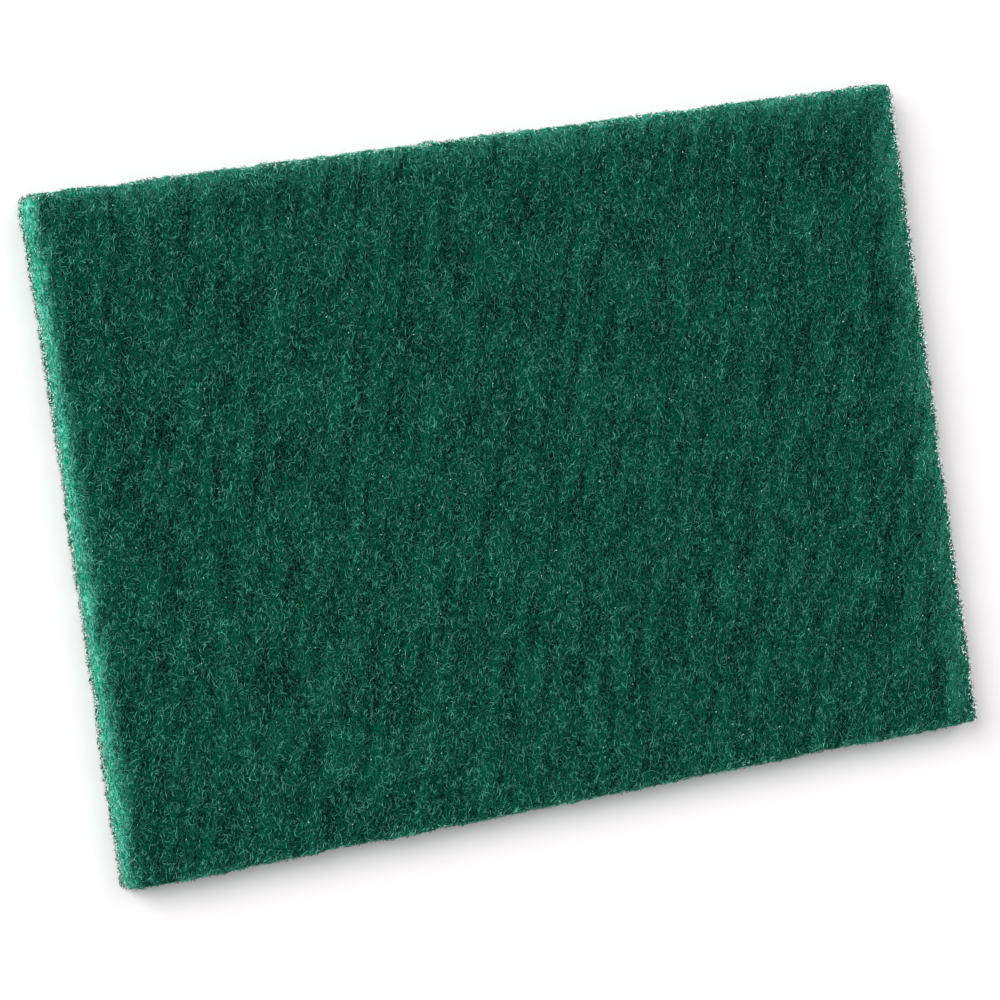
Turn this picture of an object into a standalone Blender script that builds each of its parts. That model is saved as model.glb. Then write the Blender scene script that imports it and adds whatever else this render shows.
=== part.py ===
"""A non-woven finishing pad: one rectangle cut from a lofty web of crimped, resin-bonded fibre.

The pad lies on its lower face. +X runs along its length, +Y across its width and +Z up through its
thickness, and the origin is at the middle of the face that it rests on. Units are metres.
"""

import math

import bmesh
import bpy
from mathutils import Matrix, Vector, noise

# The cut piece
PAD_LENGTH = 0.229
PAD_WIDTH = 0.152
PAD_THICKNESS = 0.008

# The cutting die leaves small corners in plan and squeezes the web into a soft shoulder
CORNER_RADIUS = 0.0022
CORNER_STEPS = 3
SHOULDER_RADIUS = 0.0013
SHOULDER_STEPS = 2

# Both faces carry shallow furrows, where the fibres lie thinner, with level web between them.
# They lean over from the width of the pad, the way the web left the laying machine.
FURROW_LEAN = math.radians(18)
FURROW_PITCH = 0.0062
FURROW_RUN = 0.021
FURROW_DEPTH = 0.0006
FURROW_SHARE = 0.45

# The web springs back unevenly from the cut, so the sides waver inwards
CUT_PULL = 0.0005
CUT_PULL_SPACING = 0.011
CUT_LAYER_SPACING = 0.004

# Facets follow the furrows: narrow across them and long beside them
FACET_ACROSS = 0.0024
FACET_ALONG = 0.0072
SIDE_LAYERS = 3

# Perlin noise turns from high to low over one cell, so a furrow and its bank take two
CELLS_PER_PITCH = 2
# Noise stays mostly within this much of zero, and a furrow is full depth at its edge
NOISE_REACH = 0.5
UPPER_FACE_SEED = 3.7
LOWER_FACE_SEED = 11.3
CUT_SEED = 23.9

PAD_COLOUR = (0.0065, 0.067, 0.040, 1.0)
PAD_ROUGHNESS = 0.95


def clear_scene():
    for old in list(bpy.data.objects):
        bpy.data.objects.remove(old)


def pad_collection():
    collection = bpy.data.collections.new("finishing_pad")
    bpy.context.scene.collection.children.link(collection)
    return collection


def web_material():
    material = bpy.data.materials.new("green_fibre_web")
    material.use_nodes = True
    shader = material.node_tree.nodes["Principled BSDF"]
    shader.inputs["Base Color"].default_value = PAD_COLOUR
    shader.inputs["Roughness"].default_value = PAD_ROUGHNESS
    shader.inputs["Metallic"].default_value = 0.0
    return material


def is_upright(edge):
    a, b = (vert.co for vert in edge.verts)
    return abs(a.z - b.z) > PAD_THICKNESS / 2


def is_level(edge):
    a, b = (vert.co for vert in edge.verts)
    return abs(a.z - b.z) < PAD_THICKNESS / 2


def round_edges(bm, edges, radius, steps):
    bmesh.ops.bevel(
        bm,
        geom=edges,
        offset=radius,
        segments=steps,
        profile=0.5,
        affect="EDGES",
        offset_type="OFFSET",
        material=-1,
    )


def cut_blank(bm):
    """The die-cut rectangle, with rounded corners in plan and soft shoulders round both faces."""
    size = Matrix.Diagonal((PAD_LENGTH, PAD_WIDTH, PAD_THICKNESS, 1))
    centre = Matrix.Translation((0, 0, PAD_THICKNESS / 2))
    bmesh.ops.create_cube(bm, size=1, matrix=centre @ size)
    round_edges(bm, [e for e in bm.edges if is_upright(e)], CORNER_RADIUS, CORNER_STEPS)
    round_edges(bm, [e for e in bm.edges if is_level(e)], SHOULDER_RADIUS, SHOULDER_STEPS)


def slice_across(bm, normal, reach, spacing):
    """Cuts the blank with parallel planes, evenly spaced about its middle, as far out as reach."""
    count = math.floor(2 * reach / spacing)
    for k in range(count):
        distance = (k - (count - 1) / 2) * spacing
        everything = bm.verts[:] + bm.edges[:] + bm.faces[:]
        bmesh.ops.bisect_plane(
            bm, geom=everything, dist=1e-6, plane_co=normal * distance, plane_no=normal
        )


def divide_into_facets(bm):
    """Gives the surface the vertices that the furrows and the wavering sides need."""
    across = Vector((math.cos(FURROW_LEAN), -math.sin(FURROW_LEAN), 0))
    half_length, half_width = PAD_LENGTH / 2, PAD_WIDTH / 2
    reach_across = half_length * across.x - half_width * across.y
    slice_across(bm, across, reach_across, FACET_ACROSS)
    slice_across(bm, Vector((0, 1, 0)), half_width, FACET_ALONG)
    flat_side = PAD_THICKNESS - 2 * SHOULDER_RADIUS
    for k in range(1, SIDE_LAYERS):
        height = SHOULDER_RADIUS + flat_side * k / SIDE_LAYERS
        everything = bm.verts[:] + bm.edges[:] + bm.faces[:]
        bmesh.ops.bisect_plane(
            bm, geom=everything, dist=1e-6, plane_co=(0, 0, height), plane_no=(0, 0, 1)
        )


def furrow(x, y, seed):
    """0 on the level web between furrows, rising to 1 along the bottom of a furrow."""
    across = x * math.cos(FURROW_LEAN) - y * math.sin(FURROW_LEAN)
    along = x * math.sin(FURROW_LEAN) + y * math.cos(FURROW_LEAN)
    place = Vector((across / FURROW_PITCH, along / FURROW_RUN, 0)) * CELLS_PER_PITCH
    height = noise.noise(place + Vector((0, 0, seed)))
    start = NOISE_REACH * (2 * FURROW_SHARE - 1)
    return min(max((start - height) / NOISE_REACH, 0.0), 1.0)


def cut_pull(point):
    """0 where the side stands at the cut line, up to 1 where the web has drawn furthest back."""
    place = Vector((point.x / CUT_PULL_SPACING, point.y / CUT_PULL_SPACING, point.z / CUT_LAYER_SPACING))
    return min(max(noise.noise(place + Vector((0, 0, CUT_SEED))) / NOISE_REACH, 0.0), 1.0)


def lay_furrows(bm):
    """Sinks the furrows into both faces. The shoulders take part of the depth, the sides none."""
    middle = PAD_THICKNESS / 2
    side = middle - SHOULDER_RADIUS
    for vert in bm.verts:
        height = vert.co.z - middle
        share = max(abs(height) - side, 0.0) / SHOULDER_RADIUS
        seed = UPPER_FACE_SEED if height > 0 else LOWER_FACE_SEED
        depth = FURROW_DEPTH * share * furrow(vert.co.x, vert.co.y, seed)
        vert.co.z -= math.copysign(depth, height)


def draw_back_sides(bm):
    """Pulls the cut sides inwards, each towards the middle of the pad, least at the shoulders."""
    for vert in bm.verts:
        from_end = PAD_LENGTH / 2 - abs(vert.co.x)
        from_side = PAD_WIDTH / 2 - abs(vert.co.y)
        pull = CUT_PULL * cut_pull(vert.co)
        if from_end < SHOULDER_RADIUS:
            vert.co.x -= math.copysign(pull * (1 - from_end / SHOULDER_RADIUS), vert.co.x)
        if from_side < SHOULDER_RADIUS:
            vert.co.y -= math.copysign(pull * (1 - from_side / SHOULDER_RADIUS), vert.co.y)


def make_pad(collection, material):
    bm = bmesh.new()
    cut_blank(bm)
    divide_into_facets(bm)
    lay_furrows(bm)
    draw_back_sides(bm)
    bmesh.ops.triangulate(bm, faces=bm.faces[:])
    bmesh.ops.recalc_face_normals(bm, faces=bm.faces[:])
    mesh = bpy.data.meshes.new("abrasive_web")
    bm.to_mesh(mesh)
    bm.free()
    mesh.shade_smooth()
    mesh.materials.append(material)
    pad = bpy.data.objects.new("abrasive_web", mesh)
    collection.objects.link(pad)
    return pad


clear_scene()
make_pad(pad_collection(), web_material())
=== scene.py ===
import math
import random

import bmesh
import bpy
import numpy as np
from mathutils import Matrix, Quaternion, Vector, noise
from mathutils.bvhtree import BVHTree


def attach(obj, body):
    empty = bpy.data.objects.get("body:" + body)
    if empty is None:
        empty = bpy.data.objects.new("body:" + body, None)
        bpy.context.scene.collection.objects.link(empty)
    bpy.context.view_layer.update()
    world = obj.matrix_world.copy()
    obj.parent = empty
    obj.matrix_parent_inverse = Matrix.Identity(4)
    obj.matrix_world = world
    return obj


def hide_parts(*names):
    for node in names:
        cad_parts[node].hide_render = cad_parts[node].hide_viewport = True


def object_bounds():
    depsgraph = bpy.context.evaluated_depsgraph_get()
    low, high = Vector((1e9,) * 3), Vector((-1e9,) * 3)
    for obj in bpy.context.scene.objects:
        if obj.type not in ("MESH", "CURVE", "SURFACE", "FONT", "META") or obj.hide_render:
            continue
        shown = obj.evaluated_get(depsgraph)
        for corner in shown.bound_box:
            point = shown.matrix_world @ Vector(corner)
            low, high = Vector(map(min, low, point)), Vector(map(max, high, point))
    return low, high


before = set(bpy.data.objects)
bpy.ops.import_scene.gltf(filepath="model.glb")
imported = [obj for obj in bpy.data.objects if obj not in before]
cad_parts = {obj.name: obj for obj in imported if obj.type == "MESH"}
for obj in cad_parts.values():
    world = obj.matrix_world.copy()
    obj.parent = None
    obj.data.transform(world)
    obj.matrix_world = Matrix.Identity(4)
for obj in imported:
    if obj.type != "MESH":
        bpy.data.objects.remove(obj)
cad_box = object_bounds()
MM = 0.001

# The camera
# A long lens looks down at the pad from over its left end, so that the left cut side shows and the
# right one doesn't. The picture's upright is turned a little from the width of the pad.
camera_elevation = math.radians(58.2)
camera_azimuth = math.radians(175.4)
camera_distance = 1353 * MM
camera_aim = Vector((-3.95, -5.95, 0)) * MM
picture_turn = math.radians(9.47)
focal_length = 214.9
sensor_width = 36

towards_camera = Vector(
    (
        math.cos(camera_elevation) * math.cos(camera_azimuth),
        math.cos(camera_elevation) * math.sin(camera_azimuth),
        math.sin(camera_elevation),
    )
)
upright = Vector((math.sin(picture_turn), math.cos(picture_turn), 0))
picture_right = upright.cross(towards_camera).normalized()
picture_up = towards_camera.cross(picture_right)
camera = bpy.data.objects.new("camera", bpy.data.cameras.new("camera"))
camera.data.lens = focal_length
camera.data.sensor_width = sensor_width
turn = Matrix((picture_right, picture_up, towards_camera)).transposed().to_4x4()
camera.matrix_world = Matrix.Translation(camera_aim + towards_camera * camera_distance) @ turn
bpy.context.scene.collection.objects.link(camera)
bpy.context.scene.camera = camera

# The web
# One rectangle die-cut from a lofty mat of crimped synthetic fibres, bonded where they cross by a
# green resin. It takes the frame's form, cut fine enough for the small furrows between the fibres.
low, high = (Vector(corner) for corner in cad_box)
web_thickness = high[2] - low[2]
web_cells = Vector((1.0, 1.3, 1.1)) * MM
lowest_web = 0.12 * MM

# The furrows run across the pad, leaning over from its width, with narrow ones among the broad
furrow_lean = math.radians(18)
furrow_width = 2.6 * MM
furrow_run = 13.0 * MM
furrow_depth = 0.20 * MM
furrow_contrast = 1.7
narrow_furrow_share = 0.5
narrow_furrow_fineness = 2.3

# The frame's face lies at this height between a furrow's bottom, -1, and the bank beside it, 1
frame_face_height = 0.6

# The fibre lies thickest on the banks and in broad streaks that run the same way
streak_width = 4.5 * MM
streak_run = 16.0 * MM
bank_fullness = 0.5
streak_fullness = 0.7

# Where the upper face and the lower one take each pattern from the noise
furrow_seeds = (5.0, 17.0)
narrow_furrow_seeds = (45.0, 57.0)
streak_seeds = (8.0, 21.0)

lump_size = 1.3 * MM
lump_height = 0.10 * MM
side_lump_size = 2.2 * MM
side_lump_height = 0.55 * MM
side_lump_seed = Vector((9, 9, 9))

# The left corners are round. The right ones are pushed out to be nearly square, and the left end
# leans out towards its back corner.
corner_radius = 3.2 * MM
corner_push = 0.5
corner_spread = 1.0 * MM
spread_run = 40.0 * MM
corner_centre = Vector((high[0] - corner_radius, high[1] - corner_radius))


def laid_noise(point, width, run, seeds, fineness=1):
    """Noise drawn out along the furrows, at a point of the web."""
    across = point.x * math.cos(furrow_lean) - point.y * math.sin(furrow_lean)
    along = point.x * math.sin(furrow_lean) + point.y * math.cos(furrow_lean)
    seed = seeds[0] if point.z > web_thickness / 2 else seeds[1]
    return noise.noise(Vector((fineness * across / width, fineness * along / run, seed)))


def furrow_at(point):
    """From -1 at the bottom of a furrow to 1 on the bank beside it, at a point of the web."""
    broad = laid_noise(point, furrow_width, furrow_run, furrow_seeds)
    narrow = laid_noise(point, furrow_width, furrow_run, narrow_furrow_seeds, narrow_furrow_fineness)
    return max(-1.0, min(1.0, furrow_contrast * (broad + narrow_furrow_share * narrow)))


def fullness_at(point):
    """How thickly the fibre lies at a point of the web, more or less than the usual, which is 0."""
    streak = laid_noise(point, streak_width, streak_run, streak_seeds)
    return bank_fullness * furrow_at(point) + streak_fullness * streak


def surface_of(mesh):
    """The faces of a mesh, in which the place nearest to a point can be found."""
    shape = bmesh.new()
    shape.from_mesh(mesh)
    surface = BVHTree.FromBMesh(shape)
    shape.free()
    return surface


def new_piece(name, bm, material):
    mesh = bpy.data.meshes.new(name)
    bm.to_mesh(mesh)
    bm.free()
    mesh.shade_smooth()
    mesh.materials.append(material)
    piece = bpy.data.objects.new(name, mesh)
    bpy.context.scene.collection.objects.link(piece)
    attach(piece, "root")
    return piece


class Wire:
    """One socket of a material's nodes, so that sums of shader values read as Python expressions."""

    def __init__(self, socket):
        self.socket = socket

    def node(self, kind, inputs, out=0, **settings):
        """Adds a node of any kind, gives it its settings and inputs, and returns one output."""
        tree = self.socket.id_data
        added = tree.nodes.new("ShaderNode" + kind)
        for name, value in settings.items():
            setattr(added, name, value)
        for key, value in inputs.items():
            if isinstance(value, Wire):
                tree.links.new(value.socket, added.inputs[key])
            else:
                added.inputs[key].default_value = value
        return Wire(added.outputs[out])

    def output(self, name):
        """Another output of the same node."""
        return Wire(self.socket.node.outputs[name])

    def maths(self, operation, *values):
        return self.node("Math", dict(enumerate(values)), operation=operation)

    def __add__(self, other):
        return self.maths("ADD", self, other)

    __radd__ = __add__

    def __mul__(self, other):
        return self.maths("MULTIPLY", self, other)

    __rmul__ = __mul__

    def __sub__(self, other):
        return self.maths("SUBTRACT", self, other)

    def __rsub__(self, other):
        return self.maths("SUBTRACT", other, self)

    def __abs__(self):
        return self.maths("ABSOLUTE", self)

    def vector(self, operation, other):
        return self.node("VectorMath", {0: self, 1: other}, operation=operation)

    def ramp(self, start, end):
        """0 at the start and below, smoothly up to 1 at the end and beyond."""
        stops = {"Value": self, "From Min": start, "From Max": end}
        return self.node("MapRange", stops, interpolation_type="SMOOTHSTEP")

    def fade(self, start, end):
        """1 at the start and below, smoothly down to 0 at the end and beyond."""
        stops = {"Value": self, "From Min": start, "From Max": end, "To Min": 1, "To Max": 0}
        return self.node("MapRange", stops, interpolation_type="SMOOTHSTEP")

    def mix(self, first, second):
        """The first colour where this is 0 and the second where it is 1."""
        return self.node("Mix", {0: self, 6: first, 7: second}, out=2, data_type="RGBA")


def new_material(name, roughness):
    """A material and its shader, with the object's own coordinates in millimetres."""
    material = bpy.data.materials.new(name)
    material.use_nodes = True
    shader = material.node_tree.nodes["Principled BSDF"]
    shader.inputs["Roughness"].default_value = roughness
    place = Wire(material.node_tree.nodes.new("ShaderNodeTexCoord").outputs["Object"])
    return material, shader, place.vector("MULTIPLY", (1 / MM, 1 / MM, 1 / MM))


def feed(shader, name, wire):
    wire.socket.id_data.links.new(wire.socket, shader.inputs[name])


web_roughness = 0.75
web_bump_depth = 0.15 * MM

# The pit colours are painted shade: the dark of the shade that falls into the pits between the fibres.
pit_shade_green = (0.0002, 0.0070, 0.0040, 1)
ground_green = (0.0010, 0.0740, 0.0400, 1)
strand_green = (0.0700, 0.3700, 0.2500, 1)
cut_pit_shade_green = (0.0030, 0.1100, 0.0620, 1)
cut_ground_green = (0.0085, 0.4000, 0.2300, 1)
cut_strand_green = (0.2300, 0.8000, 0.6000, 1)
# The dark lattice colour is dark fibre and painted shade between loops; the pale one is partly painted
# light of the white ground.
dark_fibre_and_gap_shade = (0.0040, 0.0800, 0.0450, 1)
lattice_pale_and_floor_light = (0.6000, 0.9300, 0.8100, 1)

# The lengths that follow are for the material, in millimetres. Beside the cut both faces are paler in
# a narrow band and in a wide one, and palest where the bands start, just outside the cut line. This
# paleness is partly the paler fibre at the cut and partly painted light, caught by the rounded shoulders.
band_start = -0.5
narrow_band = 2.0
wide_band = 6.5
band_wander = 1.6
cut_paleness = 0.44
wide_band_paleness = 0.24
narrow_band_paleness = 0.32

# Each side narrows its bands by this much, so they reach in least along the side at -Y and furthest
# along the end at +X. That difference between the sides is painted light: the side at -Y faces away
# from the lamps.
left_end_narrowing = 1.7
right_end_narrowing = 0.55
front_side_narrowing = 3.0
back_side_narrowing = 0.8

# The heights between which the lattice at the foot of a cut side ends, the patterns of the upper and
# the lower half change over, and the open fibre of the cut gives way to the shoulder
foot_end = (1.4, 3.2)
half_way = (3.9, 4.1)
shoulder_start = (4.6, 7.2)

# The surface turns from a cut side into a face over this span of its normal's height, and over these
# spans of that turn the paleness of the cut and the lattice at its foot fade out
face_turn = (0.55, 0.75)
cut_turn = (0.2, 0.9)
foot_turn = (0.1, 0.5)
shoulder_darkening = 0.9

# The span of its noise over which each pattern comes in
open_web = (0.43, 0.56)
pale_blotch = (0.43, 0.58)
pale_lattice = (0.52, 0.56)
dark_lattice = (0.41, 0.45)
lattice_fineness = (3.0, 3.0, 1.8)
blotch_strength = 0.75

# How much the small speckle, the clumps along the furrows and the fullness of the web each count
# towards there being fibre at a point, and not a pit, whose colour is painted shade
speckle_share = 0.78
clump_share = 0.22
fullness_share = 0.10

# Short fibres are drawn on the web in layers, each shifted from the one below. A slow warp pushes
# them about, and those of the lower face come from further along the pattern.
strand_layer_shift = Vector((7.3, 3.9, 0))
strand_warp = (1.3, 1.3, 0)
lower_face_shift = 53.0

# Their usual heading is that of the furrows from +X, and they spread over this angle, in radians
strand_heading = 1.26
strand_spread = 2.3

# The shortest is this share of the full length, and the faintest this share of the brightness. The
# core and the painted shadow beside a fibre reach out to these multiples of its half width.
shortest_strand = 0.55
faintest_strand = 0.35
strand_core = 0.35
strand_shade_gap = 2.6
strand_tip = 0.12
gap_shade = 0.55
gap_shade_lost_at_rim = 0.40

# How plainly the fibres show where the web has its usual fullness, and how much more where it is full
strand_show = 0.85
strand_show_gain = 0.25

# How high the ground and each layer of fibres stand in the bumps of the surface
ground_height = 0.25
first_layer_height = 0.4
layer_height_step = 0.15

strand_layers = (
    # cell across, half length, half width, bend, brightness
    (0.95, 0.58, 0.055, 0.60, 0.60),
    (0.85, 0.52, 0.050, 0.80, 0.80),
    (1.05, 0.62, 0.050, 0.90, 1.00),
)


def depth_from_cut(place):
    """How far in from the cut sides a point is, with a wandering line and each side's narrowing."""
    half = Vector(high) / MM
    x = place.node("SeparateXYZ", {0: place})
    y = x.output("Y")
    from_left, from_right = left_end_narrowing * (x + half.x), right_end_narrowing * (half.x - x)
    from_front, from_back = front_side_narrowing * (y + half.y), back_side_narrowing * (half.y - y)
    from_ends = x.maths("SMOOTH_MIN", from_left, from_right, 1.0)
    from_sides = x.maths("SMOOTH_MIN", from_front, from_back, 1.0)
    inside = x.maths("SMOOTH_MIN", from_ends, from_sides, 1.0)
    wander = place.node("TexNoise", {"Vector": place, "Scale": 0.45, "Detail": 2})
    return inside + band_wander * (wander - 0.5)


def rim_paleness(place, z, level):
    """How pale the web is near the cut, from 0 well inside to 1 on the open cut side. On the faces
    beside the cut this is partly painted light on the lit shoulders.
    """
    inside = depth_from_cut(place)
    cut = level.fade(*cut_turn) * (1.0 - shoulder_darkening * z.ramp(*shoulder_start))
    wide = inside.fade(band_start, wide_band)
    narrow = inside.fade(band_start, narrow_band)
    return cut_paleness * cut + wide_band_paleness * wide + narrow_band_paleness * narrow


def laid_flat(place, level):
    """The place as the drawn fibres take it: along and across a face, or round and up a cut side."""
    xyz = place.node("SeparateXYZ", {0: place})
    y, z = xyz.output("Y"), xyz.output("Z")
    on_face = place.node("CombineXYZ", {0: xyz + lower_face_shift * z.fade(*half_way), 1: y})
    on_side = place.node("CombineXYZ", {0: xyz + y, 1: z})
    flat = level.node("Mix", {0: level, 4: on_side, 5: on_face}, out=1, data_type="VECTOR")
    drift = {"Vector": place, "Scale": 1.1, "Detail": 1}
    warp = place.node("TexNoise", drift, out="Color").vector("SUBTRACT", (0.5, 0.5, 0.5))
    return flat.vector("ADD", warp.vector("MULTIPLY", strand_warp))


def strand_layer(flat, order, cell, half_length, half_width, bend):
    """One short curved fibre in each cell of a loose grid. Gives a mask of the fibre, a mask of the
    painted shadow beside it, and a number that is drawn for each cell."""
    shifted = flat.vector("ADD", strand_layer_shift * order)
    cells = {"Vector": shifted, "Scale": 1 / cell}
    centre = flat.node("TexVoronoi", cells, out="Position", voronoi_dimensions="2D")
    chance = centre.node("SeparateColor", {0: centre.output("Color")})
    offset = shifted.vector("SUBTRACT", centre)
    x = offset.node("SeparateXYZ", {0: offset})
    y = x.output("Y")
    angle = strand_heading + strand_spread * (chance - 0.5)
    cosine = angle.maths("COSINE", angle)
    sine = angle.maths("SINE", angle)
    along = x * cosine + y * sine
    curl = 2 * bend * (chance.output("Green") - 0.5)
    across = y * cosine - x * sine + curl * (along * along - 0.4 * half_length**2)
    reach = half_length * (shortest_strand + (1 - shortest_strand) * chance.output("Blue"))
    side = abs(across).fade(strand_core * half_width, half_width)
    beside = abs(across).fade(half_width, strand_shade_gap * half_width)
    end = (abs(along) - reach).fade(-strand_tip, 0.0)
    return side * end, beside * end, chance.output("Blue")


def draw_strands(flat, rim, fullness, colour, height):
    """Lays each layer of drawn fibres over the last, with a painted shadow beside every one of them."""
    strand_colour = rim.mix(strand_green, cut_strand_green)
    for order, (cell, half_length, half_width, bend, bright) in enumerate(strand_layers):
        strand, beside, chance = strand_layer(flat, order, cell, half_length, half_width, bend)
        # Painted shadow: the ground beside each fibre is darkened towards the painted pit shade, less near
        # the rim.
        colour = (beside * (gap_shade - gap_shade_lost_at_rim * rim)).mix(colour, pit_shade_green)
        shown = strand * (bright * (faintest_strand + (1 - faintest_strand) * chance))
        colour = (shown * (strand_show + strand_show_gain * fullness)).mix(colour, strand_colour)
        layer_height = first_layer_height + layer_height_step * order
        height = height.maths("MAXIMUM", height, strand * layer_height)
    return colour, height


def draw_foot_lattice(place, z, level, colour):
    """Adds pale loops at the foot of a cut side, partly painted light of the white ground seen between
    them, and painted shade in the gaps between them.
    """
    stretched = place.vector("MULTIPLY", lattice_fineness)
    grain = place.node("TexNoise", {"Vector": stretched, "Scale": 1.0, "Detail": 1})
    at_foot = level.fade(*foot_turn) * z.fade(*foot_end)
    colour = (at_foot * grain.ramp(*pale_lattice)).mix(colour, lattice_pale_and_floor_light)
    return (at_foot * grain.fade(*dark_lattice)).mix(colour, dark_fibre_and_gap_shade)


def web_material():
    material, shader, place = new_material("web_material", web_roughness)
    shader.inputs["Specular IOR Level"].default_value = 0.0
    z = place.node("SeparateXYZ", {0: place}, out="Z")
    facing = place.node("TexCoord", {}, out="Normal")
    level = abs(facing.node("SeparateXYZ", {0: facing}, out="Z")).ramp(*face_turn)
    rim = rim_paleness(place, z, level)

    fullness = place.node("Attribute", {}, out="Fac", attribute_name="fullness")
    speckle = place.node("TexNoise", {"Vector": place, "Scale": 3.3, "Detail": 1})
    lie = {"Vector": place, "Rotation": (0, 0, -furrow_lean), "Scale": (1, 2.4, 1)}
    laid = place.node("Mapping", lie, vector_type="TEXTURE")
    clump = place.node("TexNoise", {"Vector": laid, "Scale": 1.0, "Detail": 1})
    fibre_there = speckle_share * speckle + clump_share * clump + fullness_share * fullness
    openness = fibre_there.ramp(*open_web)
    blotch = place.node("TexNoise", {"Vector": place, "Scale": 0.9, "Detail": 3}).ramp(*pale_blotch)
    ground = rim.mix(ground_green, (blotch_strength * blotch).mix(cut_ground_green, cut_strand_green))
    # Painted shade: where there is no fibre the web takes the shaded pit colour.
    colour = openness.mix(rim.mix(pit_shade_green, cut_pit_shade_green), ground)

    flat = laid_flat(place, level)
    colour, height = draw_strands(flat, rim, fullness, colour, ground_height * openness)
    feed(shader, "Base Color", draw_foot_lattice(place, z, level, colour))
    bump = place.node("Bump", {"Strength": 0.8, "Distance": web_bump_depth, "Height": height})
    feed(shader, "Normal", bump)
    return material


def cut_block():
    """A block of the web's size, with its cells cut along all three axes."""
    size = high - low
    bm = bmesh.new()
    block = Matrix.Translation((low + high) / 2) @ Matrix.Diagonal((*size, 1))
    bmesh.ops.create_cube(bm, size=1, matrix=block)
    for axis in range(3):
        cuts = round(size[axis] / web_cells[axis]) - 1
        ends = ((edge, *edge.verts) for edge in bm.edges)
        edges = [edge for edge, a, b in ends if abs(a.co[axis] - b.co[axis]) > size[axis] / 2]
        bmesh.ops.subdivide_edges(bm, edges=edges, cuts=cuts, use_grid_fill=True)
    return bm


def shape_corner(point):
    """Draws a left corner of the web in to a round one, or pushes a right one out."""
    past = Vector((max(abs(point.x) - corner_centre.x, 0), max(abs(point.y) - corner_centre.y, 0)))
    if not past.x or not past.y:
        return
    out = corner_push * (past.length / max(past) - 1)
    if point.x < 0:
        out = min(0.0, corner_radius / past.length - 1)
    point.x = math.copysign(corner_centre.x + (1 + out) * past.x, point.x)
    point.y = math.copysign(corner_centre.y + (1 + out) * past.y, point.y)


def lean_left_end(point):
    near_end = max(0.0, 1 - (point.x - low[0]) / spread_run)
    near_back = max(0.0, 1 - (high[1] - point.y) / spread_run)
    point.x -= corner_spread * near_end * near_back


def lay_web():
    """A fine block drawn onto the frame's own surface, with the small furrows and lumps added."""
    bm = cut_block()
    frame_surface = surface_of(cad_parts["abrasive_web"].data)
    for vert in bm.verts:
        vert.co = frame_surface.find_nearest(vert.co)[0]
    bmesh.ops.smooth_vert(
        bm, verts=bm.verts[:], factor=0.5, use_axis_x=True, use_axis_y=True, use_axis_z=True
    )
    bm.normal_update()
    fullness_layer = bm.verts.layers.float.new("fullness")
    for vert in bm.verts:
        vert[fullness_layer] = fullness_at(vert.co)
        on_face = vert.normal.z**2
        lump = lump_height * noise.noise(vert.co / lump_size)
        rise = furrow_depth * (furrow_at(vert.co) - frame_face_height) + lump
        rag = side_lump_height * noise.noise(vert.co / side_lump_size + side_lump_seed)
        vert.co += vert.normal * (rise * on_face + rag * (1 - on_face))
        vert.co.z = max(vert.co.z, lowest_web)
        shape_corner(vert.co)
        lean_left_end(vert.co)
    return new_piece("fibre_web", bm, web_material())


web = lay_web()
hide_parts("abrasive_web")

# The fibres of the broad faces
# Short lengths of the web's own crimped fibres, coated thinly with resin, that arch out of both faces
# and dip back in. Most run near the way of the furrows, as pale hairs over the dark web.
face_fibre_girth = (0.033 * MM, 0.054 * MM)
face_fibre_lift = 0.10 * MM
face_fibre_spread = 0.75

face_fibre_count = 16200
lower_fibre_count = 7200
face_fibre_length = (0.8 * MM, 1.9 * MM)
face_fibre_bend = 0.9
short_fibre_rise = (0.2, 1.5)

# The crimped ones are longer. Each turns steadily and waves from side to side as it goes.
crimped_fibre_count = 4600
crimped_fibre_joints = 7
crimped_fibre_step = (0.25 * MM, 0.42 * MM)
crimped_fibre_rise = (0.5, 1.8)
crimped_fibre_sink = 0.02 * MM
steady_turn = 0.25
crimp_turn = (0.3, 0.9)
crimp_pace = 1.9

# A short fibre has four points. Both ends dip into the web, and between them it stands first at this
# share of its height and then at all of it.
fibre_sink = 0.04 * MM
arch_shoulder = 0.8

# A fibre is as pale as its own draw and the web's patches make it. It is paler near the cut, partly
# as painted light like the web's bands there, and towards the left end, by left_gain for each metre.
tone_draw = (0.15, 0.8)
usual_tone = 0.95
least_tone = 0.1
patch_gain = 0.3
rim_gain = 0.5
left_gain = 1.0
tone_patch_size = 2.5 * MM
pale_rim_width = 6 * MM

face_fibre_roughness = 0.45
dark_fibre_green = (0.0020, 0.0550, 0.0330, 1)
pale_fibre_green = (0.1950, 0.8400, 0.6100, 1)

web_surface = surface_of(web.data)

# Where the web is more level than this, a fibre's heading is told from the furrows, and elsewhere
# from the way round the pad
level_enough = 0.7
along_furrows = Vector((math.sin(furrow_lean), math.cos(furrow_lean), 0))


def follow_web(start, heading, step, turns):
    """Walks over the web from a start, turning at each step. Gives the points and the way out."""
    point, out = web_surface.find_nearest(start)[:2]
    ahead = along_furrows if abs(out.z) > level_enough else out.cross(Vector((0, 0, 1)))
    ahead = Quaternion(out, heading) @ ahead
    points, ways_out = [point], [out]
    for turn in turns:
        ahead = (ahead - out * ahead.dot(out)).normalized()
        point, out = web_surface.find_nearest(point + ahead * step)[:2]
        ahead = Quaternion(out, turn) @ ahead
        points.append(point)
        ways_out.append(out)
    return points, ways_out


def follow_arch(start, heading, length, bend):
    """The walk of a short fibre, in three steps that turn the same way."""
    return follow_web(start, heading, length / 3, [bend, bend, bend])


def arch_lifts(lift):
    """The heights over the web of the four points of a short fibre."""
    return -fibre_sink, arch_shoulder * lift, lift, -fibre_sink


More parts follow.
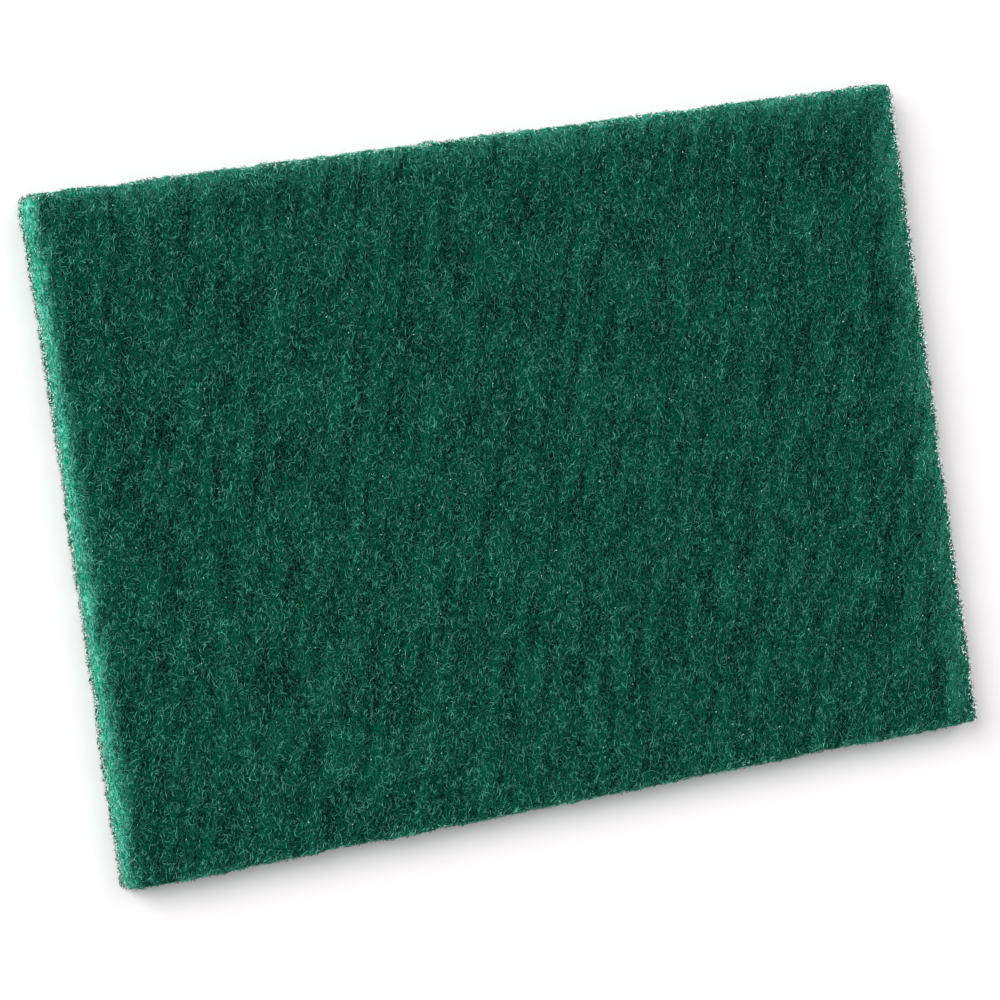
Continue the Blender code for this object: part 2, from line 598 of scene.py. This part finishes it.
def straight_fibres(count, joints):
    """Many thin closed fibres in one mesh, three-sided and pointed at both ends, and one's outline."""
    bundle = bmesh.new()
    bmesh.ops.create_uvsphere(bundle, u_segments=3, v_segments=joints + 1, radius=1)
    one = bpy.data.meshes.new("one_fibre")
    bundle.to_mesh(one)
    bundle.free()
    bm = bmesh.new()
    for _ in range(count):
        bm.from_mesh(one)
    return bm, np.array([vert.co for vert in one.vertices])


def lay_fibres(name, fibres, material):
    """Bends one straight fibre along each walk over the web. Each of the fibres is given as its walk,
    the heights of its points over the web, its thickness and its tone."""
    walks, lifts, girths, tones = zip(*fibres)
    joints = len(lifts[0]) - 2
    bm, outline = straight_fibres(len(walks), joints)
    rings = np.rint(np.arccos(np.clip(outline[:, 2], -1, 1)) / math.pi * (joints + 1)).astype(int)
    out = np.array([ways_out for _, ways_out in walks])
    middle = np.array([points for points, _ in walks]) + np.array(lifts)[:, :, None] * out
    ahead = np.gradient(middle, axis=1)
    beside = np.cross(ahead, out)
    beside /= np.linalg.norm(beside, axis=2, keepdims=True)
    girth = np.array(girths)[:, None, None]
    across = outline[None, :, 0, None] * beside[:, rings] + outline[None, :, 1, None] * out[:, rings]
    places = middle[:, rings] + girth * across
    places[:, :, 2] = np.maximum(places[:, :, 2], 0)
    piece = new_piece(name, bm, material)
    piece.data.vertices.foreach_set("co", places.astype(np.float32).ravel())
    tone = piece.data.attributes.new("tone", "FLOAT", "POINT")
    tone.data.foreach_set("value", np.repeat(np.array(tones, np.float32), len(outline)))
    piece.data.update()


def fibre_material(name, dark, pale, roughness):
    material, shader, place = new_material(name, roughness)
    tone = place.node("Attribute", {}, out="Fac", attribute_name="tone")
    shader.inputs["Specular IOR Level"].default_value = 0.15
    feed(shader, "Base Color", tone.mix(dark, pale))
    return material


def fibre_tone(draw, place):
    """How pale a fibre of the broad faces is: 0 has the dark green and 1 the pale one."""
    patch = patch_gain * (fullness_at(place) + noise.noise(place / tone_patch_size))
    from_ends = min(left_end_narrowing * (place.x + high[0]), right_end_narrowing * (high[0] - place.x))
    from_sides = min(front_side_narrowing * (place.y + high[1]), back_side_narrowing * (high[1] - place.y))
    # Paler near the cut: partly painted light, narrowest along the side at -Y like the web's bands.
    rim = rim_gain * max(0.0, 1 - min(from_ends, from_sides) / pale_rim_width)
    there = max(least_tone, usual_tone + patch + rim - left_gain * place.x)
    return min(1.0, draw.uniform(*tone_draw) * there)


def place_on_face(draw, height):
    return Vector((draw.uniform(low[0], high[0]), draw.uniform(low[1], high[1]), height))


def heading_near(draw, spread):
    """A heading near the way of the furrows, or near its opposite."""
    return draw.gauss(0, spread) + draw.choice((0, math.pi))


def lay_short_fibres(name, count, height, seed):
    draw = random.Random(seed)
    fibres = []
    for _ in range(count):
        start = place_on_face(draw, height)
        length = draw.uniform(*face_fibre_length)
        bend = draw.uniform(-face_fibre_bend, face_fibre_bend)
        walk = follow_arch(start, heading_near(draw, face_fibre_spread), length, bend)
        lifts = arch_lifts(face_fibre_lift * draw.uniform(*short_fibre_rise))
        girth = draw.uniform(*face_fibre_girth)
        fibres.append((walk, lifts, girth, fibre_tone(draw, start)))
    lay_fibres(name, fibres, face_fibre_material)


def lay_crimped_fibres(name, count, height, seed):
    draw = random.Random(seed)
    points = crimped_fibre_joints + 2
    fibres = []
    for _ in range(count):
        start = place_on_face(draw, height)
        bend, crimp = draw.gauss(0, steady_turn), draw.uniform(*crimp_turn)
        phase = draw.uniform(0, math.tau)
        turns = [bend + crimp * math.sin(phase + crimp_pace * k) for k in range(points - 1)]
        heading = heading_near(draw, face_fibre_spread)
        walk = follow_web(start, heading, draw.uniform(*crimped_fibre_step), turns)
        lift = face_fibre_lift * draw.uniform(*crimped_fibre_rise)
        rises = [math.sin(math.pi * (k + 0.2) / points) for k in range(points)]
        lifts = [lift * rise - crimped_fibre_sink for rise in rises]
        girth = draw.uniform(*face_fibre_girth)
        fibres.append((walk, lifts, girth, fibre_tone(draw, start)))
    lay_fibres(name, fibres, face_fibre_material)


face_fibre_material = fibre_material(
    "face_fibre_material", dark_fibre_green, pale_fibre_green, face_fibre_roughness
)
lay_crimped_fibres("upper_crimped_fibres", crimped_fibre_count, high[2], seed=10)
lay_short_fibres("upper_fibres_first", face_fibre_count, high[2], seed=11)
lay_short_fibres("upper_fibres_second", face_fibre_count, high[2], seed=12)
lay_short_fibres("lower_fibres", lower_fibre_count, low[2], seed=13)

# The beads of resin
# Resin that ran together in drops on the fibres of both faces and hardened there. The fibres hold
# them, and they catch the light. Their near-white colour and their crowding towards the right end
# are partly painted glint, placed where the lamps make glints show most.
bead_seed = 31
bead_count = 450
bead_size = (0.07 * MM, 0.14 * MM)
bead_lift = 0.08 * MM
glint_crowding = 1.5
bead_roughness = 0.2
# Nearly white: partly the resin's own colour and partly painted glint.
bead_green_and_glint = (0.7000, 0.9500, 0.8600, 1)


def set_beads():
    draw = random.Random(bead_seed)
    bm = bmesh.new()
    for height in (low[2], high[2]):
        for _ in range(bead_count):
            along = high[0] * (1 - 2 * draw.random() ** glint_crowding)
            place = Vector((along, draw.uniform(low[1], high[1]), height))
            point, out = web_surface.find_nearest(place)[:2]
            radius = draw.uniform(*bead_size)
            middle = point + out * bead_lift
            middle.z = max(middle.z, radius)
            where = Matrix.Translation(middle)
            bmesh.ops.create_icosphere(bm, subdivisions=1, radius=radius, matrix=where)
    material, shader, _ = new_material("bead_material", bead_roughness)
    shader.inputs["Base Color"].default_value = bead_green_and_glint
    new_piece("resin_beads", bm, material)


set_beads()

# The fibres of the cut sides
# The cut opens the web, so its sides show fibre with little grit on it. Most of it runs round the pad,
# and at both rims short loops and ends stand out past the cut.
side_fibre_seed = 21
side_fibre_count = 4500
side_fibre_length = (1.0 * MM, 2.6 * MM)
side_fibre_girth = (0.06 * MM, 0.09 * MM)
side_fibre_lift = (0.02 * MM, 0.28 * MM)
side_fibre_bend = 0.6
side_fibre_spread = 0.6
side_fibre_darkening = 1.4
lowest_side_fibre = 0.6 * MM

rim_fibre_seed = 22
rim_fibre_count = 11000
rim_fibre_length = (0.4 * MM, 1.1 * MM)
rim_fibre_reach = (0.10 * MM, 0.70 * MM)
rim_fibre_girth = (0.075 * MM, 0.130 * MM)
rim_fibre_bend = 0.9
rim_fibre_sink = 0.06 * MM
loop_end_sink = 0.05 * MM
rim_arch_shoulder = 0.7
loose_end_share = 0.8
dark_girth = 0.9
pale_girth_gain = 0.4

# Four in five of them stand at the foot, thinning out upwards. Of the others one half stands along
# the shoulder of the right end and one half round the upper rim.
foot_fringe_height = 1.4 * MM
foot_fringe_top = 3.2 * MM
right_fringe_width = 1.8 * MM
right_fringe_crowding = 1.6
right_fringe_gain = 1.2
upper_fringe_height = 0.9 * MM

# The tones that a fibre may take, each as likely as the next. The pale tones are partly painted
# highlight, fibres catching the light, and the right shoulder has the most of them.
foot_tones = (0.0, 0.0, 0.3, 0.75, 1.0)
right_tones = (0.0, 0.6, 1.0, 1.0)
back_tones = (0.0, 0.6, 0.9)

cut_fibre_roughness = 0.5
cut_dark_green = (0.0100, 0.2000, 0.1100, 1)
cut_pale_green = (0.2500, 0.7800, 0.5900, 1)
# Nearly white: partly the paler fibre of the cut and partly painted highlight.
rim_pale_and_highlight_green = (0.8500, 1.0000, 0.9500, 1)


def place_on_rim(draw, height):
    """A random place on the outline of the pad, at one height."""
    span = draw.uniform(0, 2 * (high[0] + high[1]))
    sign = draw.choice((-1, 1))
    if span < 2 * high[0]:
        return Vector((span - high[0], sign * high[1], height))
    return Vector((sign * high[0], span - 2 * high[0] - high[1], height))


def lay_side_fibres():
    draw = random.Random(side_fibre_seed)
    fibres = []
    for _ in range(side_fibre_count):
        start = place_on_rim(draw, draw.uniform(lowest_side_fibre, web_thickness))
        bend = draw.uniform(-side_fibre_bend, side_fibre_bend)
        length = draw.uniform(*side_fibre_length)
        walk = follow_arch(start, heading_near(draw, side_fibre_spread), length, bend)
        lifts = arch_lifts(draw.uniform(*side_fibre_lift))
        girth = draw.uniform(*side_fibre_girth)
        fibres.append((walk, lifts, girth, draw.random() ** side_fibre_darkening))
    material = fibre_material("cut_fibre_material", cut_dark_green, cut_pale_green, cut_fibre_roughness)
    lay_fibres("side_fibres", fibres, material)


def start_at_foot(draw):
    start = place_on_rim(draw, min(foot_fringe_top, abs(draw.gauss(0, foot_fringe_height))))
    return start, draw.choice(foot_tones)


def start_on_right_shoulder(draw):
    along = high[0] - right_fringe_width * draw.random() ** right_fringe_crowding
    start = Vector((along, draw.uniform(low[1], high[1]), web_thickness))
    return start, draw.choice(right_tones)


def start_on_upper_rim(draw):
    """These are all dark but for some along the back side."""
    start = place_on_rim(draw, web_thickness - draw.uniform(0, upper_fringe_height))
    return start, draw.choice(back_tones) if start.y > corner_centre.y else 0.0


def lay_rim_fibres():
    """Half of these are loops, whose second end dips into the web, and half end out in the open."""
    draw = random.Random(rim_fibre_seed)
    fibres = []
    for k in range(rim_fibre_count):
        reach = draw.uniform(*rim_fibre_reach)
        if k % 5:
            start, tone = start_at_foot(draw)
        elif k % 10:
            start, tone = start_on_right_shoulder(draw)
            reach *= right_fringe_gain
        else:
            start, tone = start_on_upper_rim(draw)
        bend = draw.uniform(-rim_fibre_bend, rim_fibre_bend)
        length = draw.uniform(*rim_fibre_length)
        walk = follow_arch(start, draw.uniform(0, math.tau), length, bend)
        end = draw.choice((-loop_end_sink, loose_end_share * reach))
        lifts = (-rim_fibre_sink, rim_arch_shoulder * reach, reach, end)
        girth = draw.uniform(*rim_fibre_girth) * (dark_girth + pale_girth_gain * tone)
        fibres.append((walk, lifts, girth, tone))
    material = fibre_material("rim_fibre_material", dark_fibre_and_gap_shade, rim_pale_and_highlight_green, cut_fibre_roughness)
    lay_fibres("rim_fibres", fibres, material)


lay_side_fibres()
lay_rim_fibres()

# The floor
# A plain white ground that the pad lies on, and no part of it. It takes the pad's soft shadow and
# shows pure white away from it, and throws back the light of a light grey.
floor_size = 3.0
floor_gap = 0.02 * MM
floor_grey = (0.80, 0.80, 0.80, 1)
floor_white = (1.0, 0.965, 0.98, 1)

bm = bmesh.new()
bmesh.ops.create_grid(bm, x_segments=1, y_segments=1, size=floor_size / 2)
bmesh.ops.translate(bm, verts=bm.verts[:], vec=(0, 0, -floor_gap))
floor_mesh = bpy.data.meshes.new("floor")
bm.to_mesh(floor_mesh)
bm.free()
floor_material, floor_shader, floor_place = new_material("floor_material", 1.0)
floor_shader.inputs["Specular IOR Level"].default_value = 0.0
seen = floor_place.node("LightPath", {}, out="Is Camera Ray")
feed(floor_shader, "Base Color", seen.mix(floor_grey, floor_white))
floor_mesh.materials.append(floor_material)
floor = bpy.data.objects.new("floor", floor_mesh)
bpy.context.scene.collection.objects.link(floor)

# The light
# A broad soft lamp from the left and top of the picture, a weaker one from its top right, and an
# even white surround that lights the pad from all round.
sky_share = 0.45

world = bpy.data.worlds.new("surround")
bpy.context.scene.world = world
world.use_nodes = True
background = world.node_tree.nodes["Background"]
background.inputs["Color"].default_value = (1, 1, 1, 1)
ray = Wire(world.node_tree.nodes.new("ShaderNodeLightPath").outputs["Is Camera Ray"])
glossy = ray.output("Is Glossy Ray")
shown = ray.maths("MAXIMUM", ray, glossy)
feed(background, "Strength", sky_share + (1.0 - sky_share) * shown)


def hang_lamp(name, share, lean, width):
    """A soft lamp far off, which gives its share of the light on a level white face."""
    towards = Vector(lean).normalized()
    lamp = bpy.data.objects.new(name, bpy.data.lights.new(name, "SUN"))
    lamp.data.angle = math.radians(width)
    lamp.data.energy = share * math.pi / towards.z
    lamp.rotation_euler = towards.to_track_quat("Z", "Y").to_euler()
    bpy.context.scene.collection.objects.link(lamp)


hang_lamp("left_lamp", share=0.53, lean=(-1.35, 0.72, 1.0), width=42)
hang_lamp("right_lamp", share=0.12, lean=(0.60, 0.55, 1.0), width=50)

bpy.context.scene.view_settings.view_transform = "Standard"
